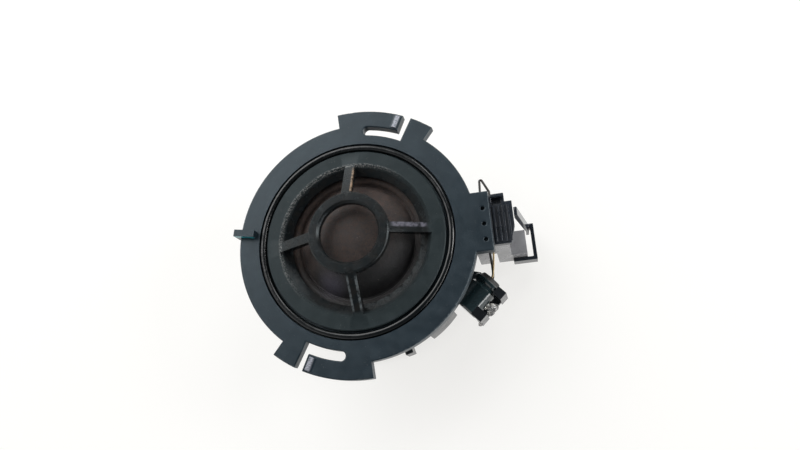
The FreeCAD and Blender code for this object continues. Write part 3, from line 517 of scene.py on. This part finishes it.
def uneven_drop(built, centre, radius, balls, seed):
    """Add a drop of set glue made of overlapping lumpy balls; each is (x, y, z, share of radius)."""
    for x, y, z, share in balls:
        made = bmesh.ops.create_icosphere(built, subdivisions=4, radius=1.0)
        for vertex in made["verts"]:
            outward = vertex.co.copy()
            swell = 0.86 + 0.14 * noise.noise(outward * 1.7 + Vector((seed + x, seed + y, seed + z)))
            vertex.co = centre + (Vector((x, y, z)) + outward * share * swell) * radius


glue_low, glue_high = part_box("glue_beads")
lump_radius, drop_radius = 1.9 * MM, 0.8 * MM
reach_in = Vector((lump_radius, lump_radius, lump_radius))
drop_in = Vector((drop_radius, drop_radius, drop_radius))
glue_drops = bmesh.new()
lump = [(0.0, 0.1, 0.05, 0.72), (-0.4, 0.3, 0.2, 0.55), (0.3, 0.2, -0.35, 0.52), (-0.15, -0.3, -0.3, 0.5)]
drop = [(0.0, 0.2, 0.1, 0.7), (-0.2, 0.1, -0.35, 0.55), (0.3, 0.4, 0.35, 0.55)]
uneven_drop(glue_drops, glue_high - reach_in, lump_radius, lump, 3.1)
uneven_drop(glue_drops, glue_low + drop_in, drop_radius, drop, 7.7)
mesh_piece("glue_drops", glue_drops, "frame", glue, ["glue_beads"])


def lead_wire(name, points, radius, shader):
    """One of the capacitor's leads: a short bent wire along points, in millimetres."""
    curve = bpy.data.curves.new(name, "CURVE")
    curve.dimensions = "3D"
    curve.bevel_depth = radius
    curve.bevel_resolution = 4
    curve.use_fill_caps = True
    spline = curve.splines.new("NURBS")
    spline.points.add(len(points) - 1)
    for point, place in zip(spline.points, points):
        point.co = (*(MM * number for number in place), 1)
    spline.order_u = 3
    spline.use_endpoint_u = True
    obj = bpy.data.objects.new(name, curve)
    scene.collection.objects.link(obj)
    curve.materials.append(shader.material)
    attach(obj, "frame")
    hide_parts("capacitor_leads")


# the capacitor's two leads: one in dark enamel to a lug, one bare and yellow to a contact pin
leads_low, leads_high = (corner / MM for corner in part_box("capacitor_leads"))
lead_half = 0.3
pin_reach = leads_high.x - lead_half
lug_reach = pin_reach - 0.95
bend_side = leads_high.y - 2.38
level_run = leads_high.z - lead_half


def lead_points(out, stop, rise_from):
    """From the capacitor's end up beside the socket and along its channel to the joint."""
    return [(leads_low.x + 0.25, leads_low.y + 0.26, rise_from),
            (leads_low.x + 0.7, leads_low.y + 0.7, rise_from),
            (out, bend_side - 0.6, level_run - 3.4), (out, bend_side, level_run - 1.6),
            (out, bend_side, level_run), (out, bend_side + 0.5, level_run), (out, stop, level_run)]


lug_run = lead_points(lug_reach, leads_high.y - 0.2, leads_low.z + lead_half)
pin_run = lead_points(pin_reach, leads_high.y, leads_low.z + 2.3)
lead_wire("lug_lead", lug_run, 0.27 * MM, enamel)
lead_wire("pin_lead", pin_run, 0.21 * MM, gold_wire)


# ---------------------------------------------------------------- floor, light and camera

def build_stage():
    """A pale floor under the part, bright enough to read as an overexposed table."""
    mesh = bpy.data.meshes.new("floor")
    built = bmesh.new()
    bmesh.ops.create_grid(built, x_segments=1, y_segments=1, size=1.5,
                          matrix=Matrix.Translation((0, 0, cad_low.z)))
    built.to_mesh(mesh)
    built.free()
    floor = bpy.data.objects.new("floor", mesh)
    scene.collection.objects.link(floor)
    paper = Shader("pale_floor", (0.27, 0.27, 0.265), 0.6, Emission_Color=(1.0, 0.99, 0.965, 1),
                   Emission_Strength=0.73)
    paper.colour(paper.blend(paper.grain(60 * MM, 3), (0.265, 0.265, 0.26), (0.275, 0.275, 0.27)))
    mesh.materials.append(paper.material)


def build_sky():
    """A soft room: pale on one side and overhead, falling off to dark on the other."""
    world = bpy.data.worlds.new("soft_room")
    scene.world = world
    world.use_nodes = True
    sky, links = world.node_tree.nodes, world.node_tree.links
    heading = sky.new("ShaderNodeTexCoord").outputs["Generated"]
    towards = sky.new("ShaderNodeVectorMath")
    towards.operation = "DOT_PRODUCT"
    towards.inputs[1].default_value = (0.8, -0.15, 1.0)
    links.new(heading, towards.inputs[0])
    shade = sky.new("ShaderNodeValToRGB")
    stops = shade.color_ramp.elements
    stops[0].color = (0.85, 0.85, 0.845, 1)
    stops[-1].position = 0.88
    stops[-1].color = (0.075, 0.08, 0.09, 1)
    for place, tone in ((0.3, 0.38), (0.55, 0.21), (0.75, 0.16)):
        stops.new(place).color = (tone, tone * 1.03, tone * 1.08, 1)
    links.new(towards.outputs["Value"], shade.inputs[0])
    links.new(shade.outputs[0], sky["Background"].inputs["Color"])


def area_light(name, place, target, width, depth, watts):
    """A rectangular lamp at place, turned to target."""
    light = bpy.data.lights.new(name, "AREA")
    light.shape = "RECTANGLE"
    light.size, light.size_y = width, depth
    light.energy = watts
    obj = bpy.data.objects.new(name, light)
    obj.location = place
    obj.rotation_euler = (Vector(target) - Vector(place)).to_track_quat("-Z", "Y").to_euler()
    scene.collection.objects.link(obj)


build_stage()
build_sky()
connector_side = (0.03, 0, -0.01)
area_light("window", (-0.5, 0.6, 0.62), (0, 0, 0), 1.0, 0.8, 8.0)
area_light("overhead", (0.3, 0.5, 0.4), connector_side, 0.3, 0.3, 1.2)
area_light("right_lamp", (0.75, 0.1, 0.3), connector_side, 0.25, 0.4, 3.0)
area_light("low_fill", (0.7, -0.35, 0.12), connector_side, 0.6, 0.16, 2.0)

camera = bpy.data.cameras.new("camera")
camera.lens = 29.475
camera.sensor_width = 36
camera.clip_start = 0.005
viewer = bpy.data.objects.new("camera", camera)
right = Vector((0.97522, -0.07667, -0.20750))
up = Vector((0.13370, 0.95135, 0.27680))
back = Vector((0.17628, -0.29773, 0.93830))
turn = Matrix((right, up, back)).transposed().to_4x4()
viewer.matrix_world = Matrix.Translation((0.03415, -0.03930, 0.13070)) @ turn
scene.collection.objects.link(viewer)
scene.camera = viewer

bpy.context.view_layer.update()
